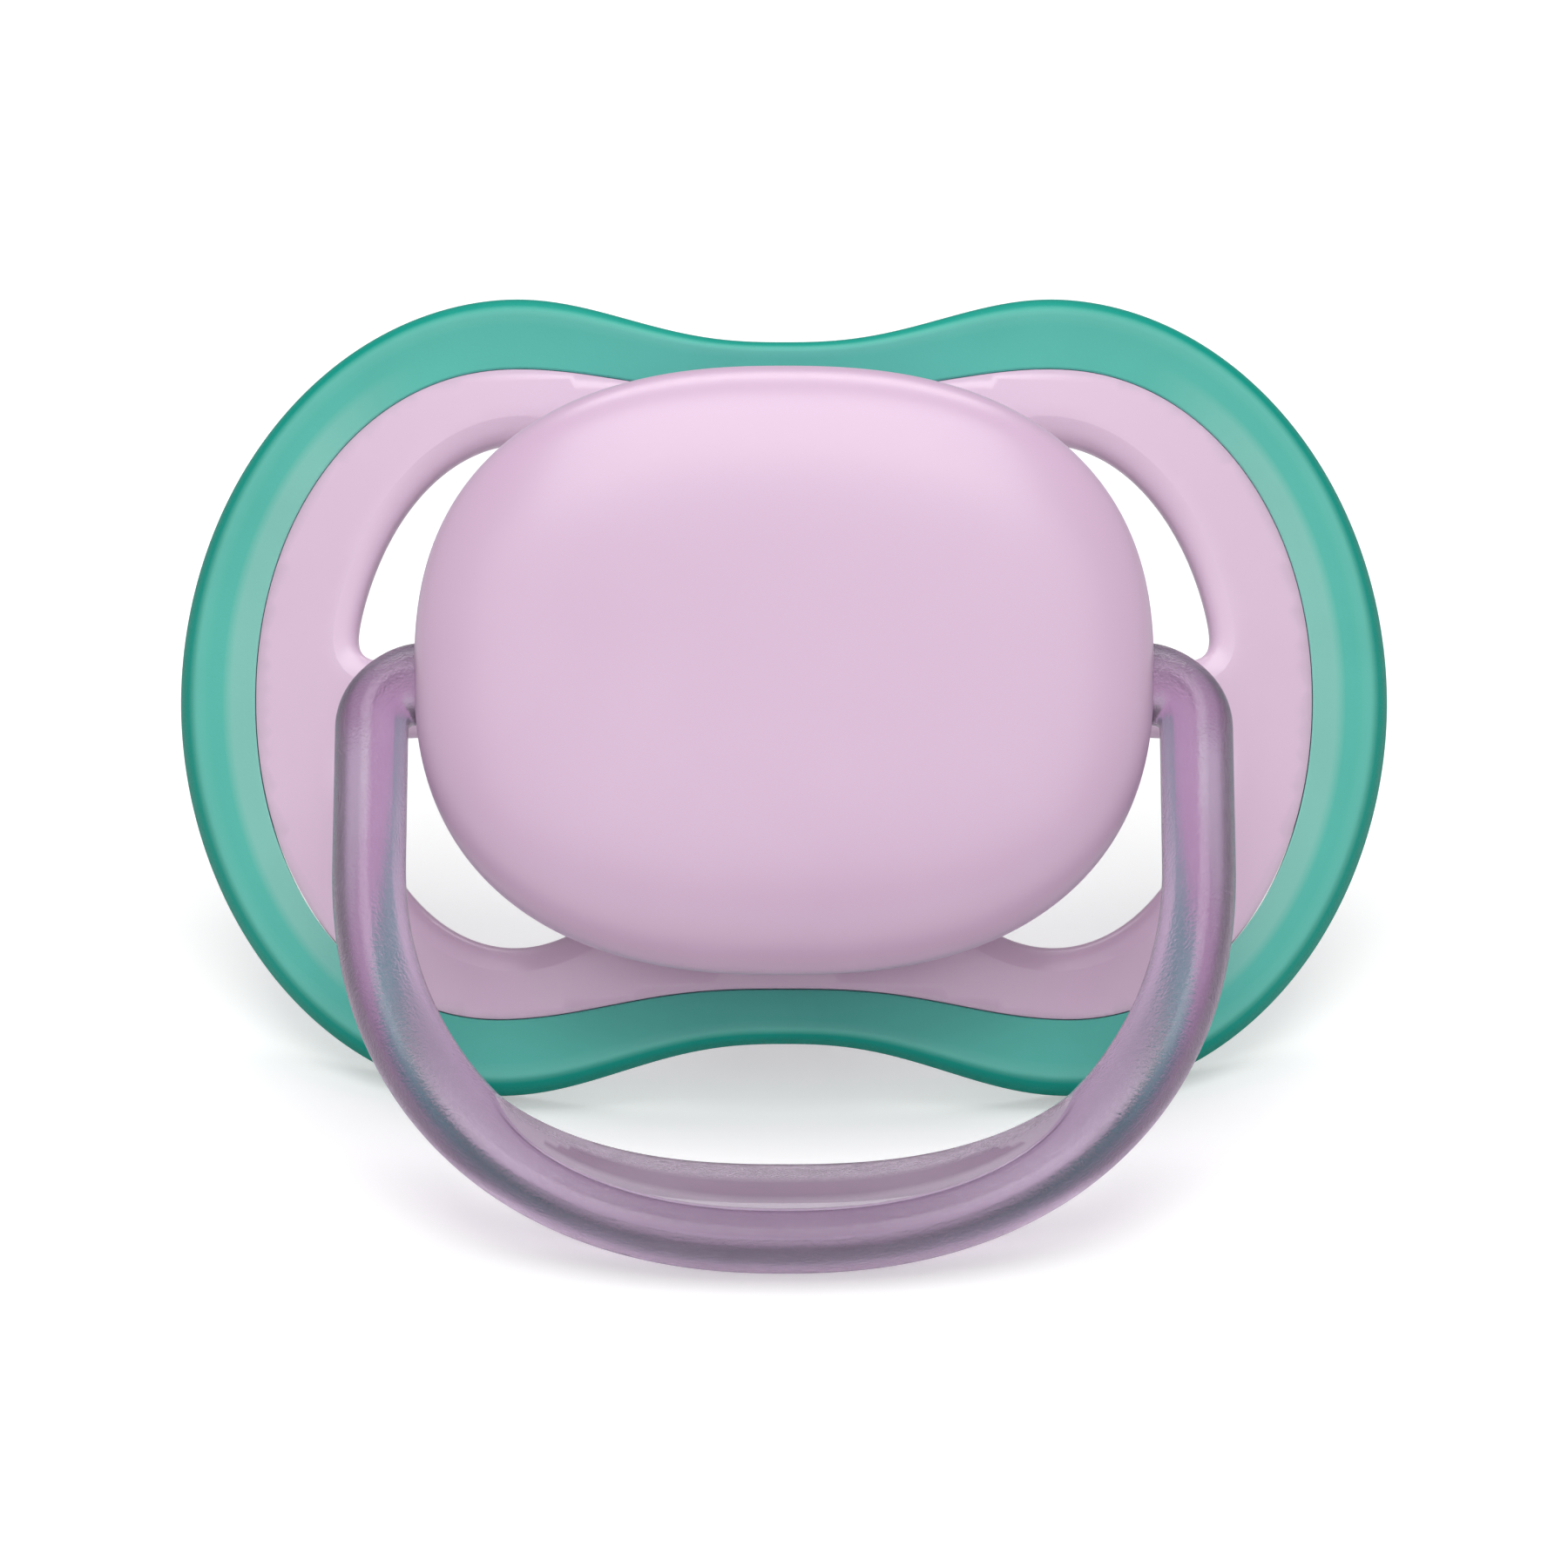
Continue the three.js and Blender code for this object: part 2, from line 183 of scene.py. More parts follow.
def roundedProfile(points, radii, bend=5, straight=2, limit=0.48):
    # a closed profile with its corners rounded, each within a share of its two edges; with every
    # point comes its place: whole numbers at the corners, halves on the flats that follow them
    points = [np.asarray(p, float) for p in points]
    out, edgeOf = [], []
    count = len(points)
    for i in range(count):
        before, here, after = points[i - 1], points[i], points[(i + 1) % count]
        toBefore, toAfter = before - here, after - here
        lengthBefore, lengthAfter = np.linalg.norm(toBefore), np.linalg.norm(toAfter)
        cut = min(radii[i], limit * lengthBefore, limit * lengthAfter)
        start = here + toBefore / max(lengthBefore, 1e-9) * cut
        end = here + toAfter / max(lengthAfter, 1e-9) * cut
        for k in range(bend + 1):
            t = k / bend
            out.append((1 - t) ** 2 * start + 2 * t * (1 - t) * here + t * t * end)
            edgeOf.append(i + t - 0.5)
        nextCut = min(radii[(i + 1) % count], limit * lengthAfter)
        farEnd = after - toAfter / max(lengthAfter, 1e-9) * nextCut
        for k in range(1, straight + 1):
            t = k / (straight + 1)
            out.append((1 - t) * end + t * farEnd)
            edgeOf.append(i + 0.5)
    return np.array(out), np.array(edgeOf)


def addNode(tree, kind, **settings):
    node = tree.nodes.new(kind)
    for key, value in settings.items():
        setattr(node, key, value)
    return node


def newGroup(name, inputs, outputs):
    group = bpy.data.node_groups.new(name, "ShaderNodeTree")
    for label, kind, value in inputs:
        socket = group.interface.new_socket(label, in_out="INPUT", socket_type=kind)
        socket.default_value = value
    for label, kind in outputs:
        group.interface.new_socket(label, in_out="OUTPUT", socket_type=kind)
    return group, group.nodes.new("NodeGroupInput"), group.nodes.new("NodeGroupOutput")


def perMillimetre(group, size):
    # the texture scale that gives features of this size, in millimetres
    scale = addNode(group, "ShaderNodeMath", operation="DIVIDE")
    scale.inputs[0].default_value = 1 / mm
    group.links.new(size, scale.inputs[1])
    return scale.outputs[0]


def spreadOut(group, source, low, high):
    # 0 to 1 as the source goes from low to high
    spread = addNode(group, "ShaderNodeMapRange")
    spread.inputs["From Min"].default_value = low
    spread.inputs["From Max"].default_value = high
    group.links.new(source, spread.inputs["Value"])
    return spread.outputs["Result"]


grainTexture = {"detail": 2, "roughness": 0.6, "pits": 0.35, "spread": (0.35, 0.65)}
driftTexture = {"detail": 3, "distortion": 0.4, "spread": (0.3, 0.7)}


def makeGrainGroup():
    # the fine spark-eroded grain of a mould, as a height and a mask
    group, given, result = newGroup(
        "mouldGrain",
        [("Size", "NodeSocketFloat", 1.0), ("Depth", "NodeSocketFloat", 1.0)],
        [("Height", "NodeSocketFloat"), ("Mask", "NodeSocketFloat")],
    )
    link = group.links.new
    place = addNode(group, "ShaderNodeTexCoord")
    scale = perMillimetre(group, given.outputs["Size"])
    fine = addNode(group, "ShaderNodeTexNoise")
    fine.inputs["Detail"].default_value = grainTexture["detail"]
    fine.inputs["Roughness"].default_value = grainTexture["roughness"]
    pits = addNode(group, "ShaderNodeTexVoronoi", feature="SMOOTH_F1")
    for texture in (fine, pits):
        link(place.outputs["Object"], texture.inputs["Vector"])
        link(scale, texture.inputs["Scale"])
    pitDepth = addNode(group, "ShaderNodeMath", operation="MULTIPLY")
    pitDepth.inputs[1].default_value = grainTexture["pits"]
    link(pits.outputs["Distance"], pitDepth.inputs[0])
    both = addNode(group, "ShaderNodeMath", operation="MULTIPLY_ADD")
    link(fine.outputs["Fac"], both.inputs[0])
    link(given.outputs["Depth"], both.inputs[1])
    link(pitDepth.outputs[0], both.inputs[2])
    link(both.outputs[0], result.inputs["Height"])
    link(spreadOut(group, fine.outputs["Fac"], *grainTexture["spread"]), result.inputs["Mask"])
    return group


def makeDriftGroup():
    # slow change of tone through a moulding, from the flow of the melt
    group, given, result = newGroup(
        "meltDrift",
        [
            ("Light", "NodeSocketColor", (0.8, 0.8, 0.8, 1)),
            ("Dark", "NodeSocketColor", (0.6, 0.6, 0.6, 1)),
            ("Size", "NodeSocketFloat", 10.0),
        ],
        [("Color", "NodeSocketColor")],
    )
    link = group.links.new
    place = addNode(group, "ShaderNodeTexCoord")
    cloud = addNode(group, "ShaderNodeTexNoise")
    cloud.inputs["Detail"].default_value = driftTexture["detail"]
    cloud.inputs["Distortion"].default_value = driftTexture["distortion"]
    link(place.outputs["Object"], cloud.inputs["Vector"])
    link(perMillimetre(group, given.outputs["Size"]), cloud.inputs["Scale"])
    mix = addNode(group, "ShaderNodeMix", data_type="RGBA")
    link(spreadOut(group, cloud.outputs["Fac"], *driftTexture["spread"]), mix.inputs["Factor"])
    link(given.outputs["Light"], mix.inputs["A"])
    link(given.outputs["Dark"], mix.inputs["B"])
    link(mix.outputs["Result"], result.inputs["Color"])
    return group


mouldGrain = makeGrainGroup()
meltDrift = makeDriftGroup()


def startMaterial(name):
    material = bpy.data.materials.new(name)
    material.use_nodes = True
    tree = material.node_tree
    return material, tree, tree.nodes["Principled BSDF"]


def placeGroup(tree, group, **values):
    node = addNode(tree, "ShaderNodeGroup", node_tree=group)
    for key, value in values.items():
        node.inputs[key].default_value = value
    return node


def ranged(tree, source, low, high):
    node = addNode(tree, "ShaderNodeMapRange")
    node.inputs["To Min"].default_value = low
    node.inputs["To Max"].default_value = high
    tree.links.new(source, node.inputs["Value"])
    return node.outputs["Result"]


def addDrift(tree, finish, light, dark):
    drift = placeGroup(tree, meltDrift, Light=light, Dark=dark, Size=finish["driftSize"])
    return drift.outputs["Color"]


def addBump(tree, shader, finish, height):
    bump = addNode(tree, "ShaderNodeBump")
    bump.inputs["Strength"].default_value = finish["grainBump"]
    bump.inputs["Distance"].default_value = finish["grainDepth"] * mm
    tree.links.new(height, bump.inputs["Height"])
    tree.links.new(bump.outputs["Normal"], shader.inputs["Normal"])


def addGrain(tree, shader, finish):
    # the grain varies the shine and dents the surface a little
    grain = placeGroup(tree, mouldGrain, Size=finish["grainSize"])
    roughness = ranged(tree, grain.outputs["Mask"], *finish["roughness"])
    tree.links.new(roughness, shader.inputs["Roughness"])
    addBump(tree, shader, finish, grain.outputs["Height"])


def readMark(tree, name):
    return addNode(tree, "ShaderNodeAttribute", attribute_name=name).outputs["Fac"]


pinkFinish = {
    "button": [(0.725, 0.505, 0.690, 1), (0.695, 0.475, 0.662, 1)],
    "plate": [(0.845, 0.630, 0.810, 1), (0.810, 0.595, 0.775, 1)],  # a paler copy of the button's pink: painted light, showing the plate as more brightly lit
    "driftSize": 14,
    "roughness": (0.28, 0.34),
    "grainSize": 0.16,
    "grainDepth": 0.004,
    "grainBump": 0.5,
    "ior": 1.7,
}


def makePinkPlastic(moulding):
    material, tree, shader = startMaterial(moulding + "Pink")
    tree.links.new(addDrift(tree, pinkFinish, *pinkFinish[moulding]), shader.inputs["Base Color"])
    addGrain(tree, shader, pinkFinish)
    shader.inputs["IOR"].default_value = pinkFinish["ior"]
    return material


tealFinish = {
    # from the plate's edge outward: inner slope, ridge, outer edge; the lighter stop at the ridge is a painted
    # highlight
    "tones": [
        (0.00, (0.120, 0.560, 0.465)),
        (0.58, (0.115, 0.540, 0.450)),
        # painted highlight along the ridge
        (0.76, (0.150, 0.570, 0.480)),
        (0.79, (0.130, 0.540, 0.450)),
        (0.87, (0.004, 0.360, 0.280)),
        (1.00, (0.002, 0.310, 0.235)),
    ],
    "lip": (0.255, 0.620, 0.535, 1),  # a lighter tone on the rim's inner slope at the wings
    "drift": [(1, 1, 1, 1), (0.93, 0.95, 0.95, 1)],
    "driftSize": 6,
    "roughness": (0.48, 0.60),
    "grainSize": 0.15,
    "grainDepth": 0.012,
    "grainBump": 0.5,
    "specular": 0.15,
}


def makeTealRubber():
    material, tree, shader = startMaterial("tealRubber")
    link = tree.links.new
    ramp = addNode(tree, "ShaderNodeValToRGB")
    stops = ramp.color_ramp.elements
    while len(stops) < len(tealFinish["tones"]):
        stops.new(0.5)
    for stop, (position, colour) in zip(stops, tealFinish["tones"]):
        stop.position = position
        stop.color = (*colour, 1)
    link(readMark(tree, "rimAcross"), ramp.inputs["Fac"])
    overPlate = addNode(tree, "ShaderNodeMix", data_type="RGBA")
    overPlate.inputs["B"].default_value = tealFinish["lip"]
    link(readMark(tree, "thinLip"), overPlate.inputs["Factor"])
    link(ramp.outputs["Color"], overPlate.inputs["A"])
    tint = addNode(tree, "ShaderNodeMix", data_type="RGBA", blend_type="MULTIPLY")
    tint.inputs["Factor"].default_value = 1
    link(overPlate.outputs["Result"], tint.inputs["A"])
    link(addDrift(tree, tealFinish, *tealFinish["drift"]), tint.inputs["B"])
    link(tint.outputs["Result"], shader.inputs["Base Color"])
    addGrain(tree, shader, tealFinish)
    shader.inputs["Specular IOR Level"].default_value = tealFinish["specular"]
    return material


ringFinish = {
    "drift": [(0.70, 0.54, 0.73, 1), (0.66, 0.49, 0.69, 1)],
    "driftSize": 5,
    "flank": (0.28, 0.18, 0.30, 1),  # deeper on the bar's outer side: partly a thicker path through the tinted plastic, partly painted shade for its dark edges
    "land": (0.96, 0.92, 0.96, 1),
    # painted reflection: a darker stripe along the polished land
    "landShadeBand": (0.50, 0.39, 0.49, 1),
    "frost": (0.12, 0.25),
    "polish": 0.03,
    "grainSize": 0.15,
    "grainDepth": 0.05,
    "grainBump": 0.8,
    "flatHeight": 0.5,  # the grain's height on the polished land
    "transmission": 0.9,
    "ior": 1.47,
}


def makeLilacPlastic():
    material, tree, shader = startMaterial("lilacPlastic")
    link = tree.links.new
    tone = addDrift(tree, ringFinish, *ringFinish["drift"])
    for mark, colour in (("flankMark", "flank"), ("landMark", "land"), ("bandMark", "landShadeBand")):
        mix = addNode(tree, "ShaderNodeMix", data_type="RGBA")
        mix.inputs["B"].default_value = ringFinish[colour]
        link(readMark(tree, mark), mix.inputs["Factor"])
        link(tone, mix.inputs["A"])
        tone = mix.outputs["Result"]
    link(tone, shader.inputs["Base Color"])
    land = readMark(tree, "landMark")
    grain = placeGroup(tree, mouldGrain, Size=ringFinish["grainSize"])
    frost = ranged(tree, grain.outputs["Mask"], *ringFinish["frost"])
    roughness = addNode(tree, "ShaderNodeMix", data_type="FLOAT")
    height = addNode(tree, "ShaderNodeMix", data_type="FLOAT")
    for mix, grainy, polished in (
        (roughness, frost, "polish"),
        (height, grain.outputs["Height"], "flatHeight"),
    ):
        mix.inputs["B"].default_value = ringFinish[polished]
        link(land, mix.inputs["Factor"])
        link(grainy, mix.inputs["A"])
    link(roughness.outputs["Result"], shader.inputs["Roughness"])
    addBump(tree, shader, ringFinish, height.outputs["Result"])
    shader.inputs["Transmission Weight"].default_value = ringFinish["transmission"]
    shader.inputs["IOR"].default_value = ringFinish["ior"]
    return material


siliconeFinish = {
    "drift": [(0.95, 0.955, 0.96, 1), (0.90, 0.915, 0.925, 1)],
    "driftSize": 8,
    "roughness": (0.10, 0.20),
    "grainSize": 0.4,
    "grainDepth": 0.006,
    "grainBump": 0.25,
    "transmission": 0.5,
    "ior": 1.41,
}


def makeSilicone():
    material, tree, shader = startMaterial("clearSilicone")
    tree.links.new(addDrift(tree, siliconeFinish, *siliconeFinish["drift"]), shader.inputs["Base Color"])
    addGrain(tree, shader, siliconeFinish)
    shader.inputs["Transmission Weight"].default_value = siliconeFinish["transmission"]
    shader.inputs["IOR"].default_value = siliconeFinish["ior"]
    return material


plugFinish = {
    "drift": [(0.86, 0.82, 0.85, 1), (0.80, 0.75, 0.79, 1)],
    "driftSize": 5,
    "roughness": (0.38, 0.5),
    "grainSize": 0.25,
    "grainDepth": 0.005,
    "grainBump": 0.4,
}


def makePlugPlastic():
    material, tree, shader = startMaterial("plugPlastic")
    tree.links.new(addDrift(tree, plugFinish, *plugFinish["drift"]), shader.inputs["Base Color"])
    addGrain(tree, shader, plugFinish)
    return material


buttonPink = makePinkPlastic("button")
# the plate's pink is a paler copy of the button's: painted light
platePink = makePinkPlastic("plate")
tealRubber = makeTealRubber()
lilacPlastic = makeLilacPlastic()
clearSilicone = makeSilicone()
plugPlastic = makePlugPlastic()
print("materials made")

# the shield: everything in millimetres from the middle of its front face
shieldShape = {
    "bowRadius": 55,
    "thickness": 2,
    "rimEdge": {
        "reach": halfShield, "lobe": 13.6, "height": 19.6, "waist": 17.2,
        "fullness": 1.97, "dip": 1.3, "skew": 0.035,
    },
    "plateEdge": {
        "reach": 26.1, "lobe": 13.6, "height": 16, "waist": 14.65,
        "fullness": 2.07, "dip": 1.55, "skew": 0.02,
    },
    "seam": 0.05,  # the hairline between plate and rim
    "outlineSteps": 340,
    "wallSteps": 4,
    "lipSteps": 8,
}
sheetGrid = {"spacing": 0.62, "rows": 0.87, "edgeGap": 0.55}  # rows and gap as shares of the spacing
ventShape = {
    "centre": 13, "width": 8.3, "height": 12.5, "strut": 1.9, "hub": 10.2,
    "outerEnd": 138,  # the outer curve stops at this angle and the hub's circle takes over
    "outerSteps": 240, "hubSteps": 80, "fineSteps": 600, "softening": 480, "steps": 150,
    "backLip": 0.6,
    # the front lip, outward from the throat and down: a crisp break, then a rolled slope
    "frontLip": [(1.26, 0), (1.22, -0.012), (0.98, -0.10), (0.72, -0.21), (0.48, -0.34), (0.27, -0.50),
                 (0.11, -0.70), (0.03, -0.92), (0, -1.15)],
}
neckHole = {
    "radius": 5.65, "steps": 72, "backLip": 0.35,
    "frontLip": [(0.35, 0), (0.2, -0.04), (0.08, -0.14), (0, -0.35)],
}
# turned walls: each corner's radius, height and rounding
hubWall = [(8.4, -1.2, 0.1), (9.8, -1.2, 0.1), (9.8, 3.4, 0.3), (8.4, 3.4, 0.3)]
collar = [(6.1, -1.7, 0.1), (7.9, -1.7, 0.1), (7.9, -3.3, 0.6), (6.1, -3.3, 0.35)]


def bow(x):
    # how far the shield has curved back at this distance from its middle
    radius = shieldShape["bowRadius"]
    return np.sqrt(radius ** 2 - np.asarray(x, float) ** 2) - radius


def wingOutline(edge, steps=1200):
    # right wing, top waist, left wing, bottom waist; anticlockwise
    loop = []
    for side in (1, -1):
        p = superellipse(side * np.linspace(-pi / 2, pi / 2, steps, endpoint=False), 1, 1, edge["fullness"])
        across = edge["lobe"] + (edge["reach"] - edge["lobe"]) * p[:, 0] * (1 + edge["skew"] * p[:, 1])
        loop.append(np.stack([side * across, edge["height"] * p[:, 1]], 1))
        x = side * edge["lobe"] * np.cos(pi * np.linspace(0, 1, steps // 2, endpoint=False))
        rise = ((1 - np.cos(pi * x / edge["lobe"])) / 2) ** edge["dip"]
        loop.append(np.stack([x, side * (edge["waist"] + (edge["height"] - edge["waist"]) * rise)], 1))
    return np.vstack(loop)


def pairedOutlines(inner, outer, count):
    # matching points on the two edges of the rim, evenly spaced along the outer one
    run = np.concatenate([[0], np.cumsum(np.linalg.norm(np.roll(outer, -1, 0) - outer, axis=1))])
    at = np.linspace(0, run[-1], count + 1)[:-1]
    index = np.interp(at, run, np.arange(len(run)))
    low = np.floor(index).astype(int) % len(outer)
    high = (low + 1) % len(outer)
    part = (index - np.floor(index))[:, None]
    return inner[low] * (1 - part) + inner[high] * part, outer[low] * (1 - part) + outer[high] * part


def ventLoop(mirrorX, mirrorZ):
    v = ventShape
    start = np.arcsin(v["strut"] / v["height"])
    a = np.linspace(start, radians(v["outerEnd"]), v["outerSteps"])
    outer = np.stack([v["centre"] + v["width"] * np.cos(a), v["height"] * np.sin(a)], 1)
    end = np.arctan2(outer[-1, 1], outer[-1, 0])
    b = np.linspace(end, np.arcsin(v["strut"] / v["hub"]), v["hubSteps"])
    inner = v["hub"] * np.stack([np.cos(b), np.sin(b)], 1)
    loop = evenly(np.vstack([outer, inner]), v["fineSteps"])
    loop = evenly(softenLoop(loop, v["softening"]), v["steps"])
    loop = loop * np.array([mirrorX, mirrorZ])
    return loop if mirrorX * mirrorZ > 0 else loop[::-1]


def circleLoop(radius, steps):
    a = np.linspace(0, 2 * pi, steps, endpoint=False)
    return radius * np.stack([np.cos(a), np.sin(a)], 1)


def fillSheet(mesh, outline, holes, out):
    # triangulates the face between the outline and its holes, then bends it to the bow
    spacing = sheetGrid["spacing"]
    loops = [outline, *holes]
    xs = np.arange(outline[:, 0].min(), outline[:, 0].max(), spacing)
    zs = np.arange(outline[:, 1].min(), outline[:, 1].max(), spacing * sheetGrid["rows"])
    lattice = np.array([[x + (spacing / 2 if k % 2 else 0), z] for k, z in enumerate(zs) for x in xs])
    keep = insideLoop(lattice, outline)
    for hole in holes:
        keep &= ~insideLoop(lattice, hole)
    lattice = lattice[keep]
    for loop in loops:
        lattice = lattice[awayFromLoop(lattice, loop) > spacing * sheetGrid["edgeGap"]]
    flat = np.vstack([*loops, lattice])
    edges, base = [], 0
    for loop in loops:
        edges += [(base + i, base + (i + 1) % len(loop)) for i in range(len(loop))]
        base += len(loop)
    made = delaunay_2d_cdt([Vector(p) for p in flat], edges, [], 0, 1e-6)
    points, triangles = np.array([tuple(p) for p in made[0]]), made[2]
    middles = np.array([points[list(t)].mean(0) for t in triangles])
    inside = insideLoop(middles, outline)
    for hole in holes:
        inside &= ~insideLoop(middles, hole)
    triangles = [t for t, k in zip(triangles, inside) if k]
    placed = np.column_stack([points, bow(points[:, 0]) + out])
    addTriangles(mesh, placed, triangles)


def lipRings(loop, hole):
    # from the front face, over the front lip, down the throat and over the back lip
    thickness, steps = shieldShape["thickness"], shieldShape["lipSteps"]
    rings = [(offsetLoop(loop, away), out) for away, out in hole["frontLip"]]
    backLip = hole["backLip"]
    for k in range(steps + 1):
        a = pi / 2 * k / steps
        ring = offsetLoop(loop, backLip * (1 - cos(a)))
        rings.append((ring, -thickness + backLip * (1 - sin(a))))
    return [np.column_stack([r, bow(r[:, 0]) + out]) for r, out in rings]


def tubeRings(profile, steps=96):
    # a profile of (radius, out) turned about the middle of the shield
    a = np.linspace(0, 2 * pi, steps, endpoint=False)
    return [np.column_stack([r * np.cos(a), r * np.sin(a), np.full(steps, out)]) for r, out in profile]


def makeShieldPlate():
    mesh = startMesh()
    s = shieldShape
    edge = evenly(offsetLoop(wingOutline(s["plateEdge"]), -s["seam"]), s["outlineSteps"])
    vents = [ventLoop(x, z) for x in (1, -1) for z in (1, -1)]
    neck = circleLoop(neckHole["radius"], neckHole["steps"])
    holes = [(loop, ventShape) for loop in vents] + [(neck, neckHole)]
    frontHoles = [offsetLoop(loop, hole["frontLip"][0][0]) for loop, hole in holes]
    backHoles = [offsetLoop(loop, hole["backLip"]) for loop, hole in holes]
    fillSheet(mesh, edge, frontHoles, 0)
    fillSheet(mesh, edge, backHoles, -s["thickness"])
    for loop, hole in holes:
        addGrid(mesh, lipRings(loop, hole))
    depths = [s["thickness"] * k / s["wallSteps"] for k in range(s["wallSteps"] + 1)]
    addGrid(mesh, [np.column_stack([edge, bow(edge[:, 0]) - depth]) for depth in depths])
    for corners in (hubWall, collar):
        profile, _ = roundedProfile([c[:2] for c in corners], [c[2] for c in corners])
        addGrid(mesh, tubeRings(profile), along=True)
    finishPiece("shieldPlate", mesh, faceFrame, "soother", ["shield_plate"], platePink)


rimSection = {
    # share of the rim's width from the plate's edge outward, height, corner radius
    "corners": [
        (0.0, -0.05, 0.02), (0.02, 0.02, 0.03), (0.40, 0.20, 0.60), (0.74, 0.42, 0.30),
        (0.80, 0.40, 0.10), (0.93, -0.05, 0.50), (1.0, -0.9, 0.50), (1.0, -1.6, 0.50),
        (0.93, -2.4, 0.60), (0.78, -2.75, 0.60), (0.14, -2.75, 0.60), (0.0, -2.2, 0.40),
    ],
    "width": 3.6,
    "lipWings": (17, 24),  # the pale inner lip fades in between these distances from the middle
    "lipShare": (0.30, 0.44),  # and out between these shares of the rim's width
}


def makeShieldRim():
    mesh = startMesh()
    s = shieldShape
    inner, outer = pairedOutlines(wingOutline(s["plateEdge"]), wingOutline(s["rimEdge"]), s["outlineSteps"])
    width = rimSection["width"]
    corners = [(share * width, out) for share, out, _ in rimSection["corners"]]
    profile, _ = roundedProfile(corners, [c[2] for c in rimSection["corners"]])
    share, out = profile[:, 0] / width, profile[:, 1]
    rings, lips = [], []
    onLip = np.array([1 - smoothStep(*rimSection["lipShare"], t) for t in share])
    for a, b in zip(inner, outer):
        flat = a[None] + (b - a)[None] * share[:, None]
        rings.append(np.column_stack([flat, bow(flat[:, 0]) + out]))
        lips.append(onLip * smoothStep(*rimSection["lipWings"], abs(a[0])))
    marks = {"rimAcross": np.tile(share, (len(rings), 1)), "thinLip": np.array(lips)}
    addGrid(mesh, rings, along=True, marks=marks)
    finishPiece("shieldRim", mesh, faceFrame, "soother", ["shield_rim"], tealRubber)


makeShieldPlate()
makeShieldRim()

buttonShape = {
    "halfWidth": 17.75, "halfHeight": 14.7, "rise": 0.3, "squareness": 2.42,
    "widest": 5.4, "crown": (3.4, 2.1), "base": 1.0, "wall": 1.6,
    "tuck": 0.045, "tuckPower": 1.6,  # the skirt draws in by this share, faster near its foot
    "footHeight": 0.35,
    "foot": [(-0.008, 0.1), (-0.022, 0)],  # share of the outline and height, round the foot's edge
    "footInside": 0.01,
    "boreRadius": 2.4, "boreEnds": (13.9, 20.0), "boreSteps": 64,
    "crownSteps": 56, "skirtSteps": 14, "fineSteps": 4000, "steps": 256,
}


def buttonProfile(inset=0.0):
    # share of the outline and height, from the middle of the face round to the skirt
    b = buttonShape
    outerPower, innerPower = b["crown"]
    angles = np.linspace(0, pi / 2, b["crownSteps"])
    share = np.sin(angles) ** (2 / outerPower)
    lift = np.maximum(0, 1 - share ** outerPower) ** (1 / innerPower)
    shrink = inset / b["halfHeight"]
    rise = buttonFront - inset - b["widest"]
    drop = b["widest"] - b["base"] - b["footHeight"]
    front = [(r * (1 - shrink), b["widest"] + rise * h) for r, h in zip(share, lift)]
    down = np.linspace(0, 1, b["skirtSteps"])[1:]
    skirt = [(1 - shrink - b["tuck"] * t ** b["tuckPower"], b["widest"] - drop * t) for t in down]
    return front + skirt


def makeFrontButton():
    mesh = startMesh()
    b = buttonShape
    outer, inner = buttonProfile(), buttonProfile(b["wall"])
    foot = [(outer[-1][0] + share, b["base"] + height) for share, height in b["foot"]]
    foot.append((inner[-1][0] + b["footInside"], b["base"]))
    a = np.linspace(0, 2 * pi, b["fineSteps"], endpoint=False)
    edge = evenly(superellipse(a, b["halfWidth"], b["halfHeight"], b["squareness"]), b["steps"])
    rings = []
    for share, out in outer + foot + inner[::-1]:
        ring = edge * share + np.array([0, b["rise"]])
        rings.append(np.column_stack([ring, np.full(len(edge), out)]))
    addGrid(mesh, rings)
    nodes = ["front_button"]
    return finishPiece("frontButton", mesh, faceFrame, "soother", nodes, buttonPink)


frontButton = makeFrontButton()

teatShape = {
    "flange": 8.1, "flangeBack": 0.3, "flangeFront": 1.5, "flangeEdge": 0.2, "fillet": 0.3,
    # radius and height of the neck's two faces, from the collar to the bulb
    "outerNeck": [(5.3, -3.2), (5.2, -4.6), (4.8, -7.5), (4.5, -11), (4.8, -15), (5.55, -19)],
    "innerNeck": [(3.5, -3.2), (3.5, -5), (3.5, -7), (3.4, -11), (3.7, -15), (4.45, -19)],
    "bulb": (7.8, 6.0, 7.0),  # half-width, half-height, half-length
    "bulbStart": -0.2,  # radians before the bulb's widest place
    "widenFrom": 4,  # the round neck starts to widen towards the bulb this far back
    "wall": 1.1, "tipWall": 1.3,
    "steps": 96, "neckSteps": 8, "bulbSteps": 40,
}


def smoothThrough(points, count):
    # Catmull-Rom curve through the points
    p = np.asarray(points, float)
    p = np.vstack([2 * p[0] - p[1], p, 2 * p[-1] - p[-2]])
    out = []
    for i in range(1, len(p) - 2):
        for t in np.linspace(0, 1, count, endpoint=False):
            a, b, c, d = p[i - 1], p[i], p[i + 1], p[i + 2]
            slope = (c - a) * t
            bend = (2 * a - 5 * b + 4 * c - d) * t ** 2
            twist = (3 * b - a - 3 * c + d) * t ** 3
            out.append(0.5 * (2 * b + slope + bend + twist))
    return np.vstack([out, p[-2]])


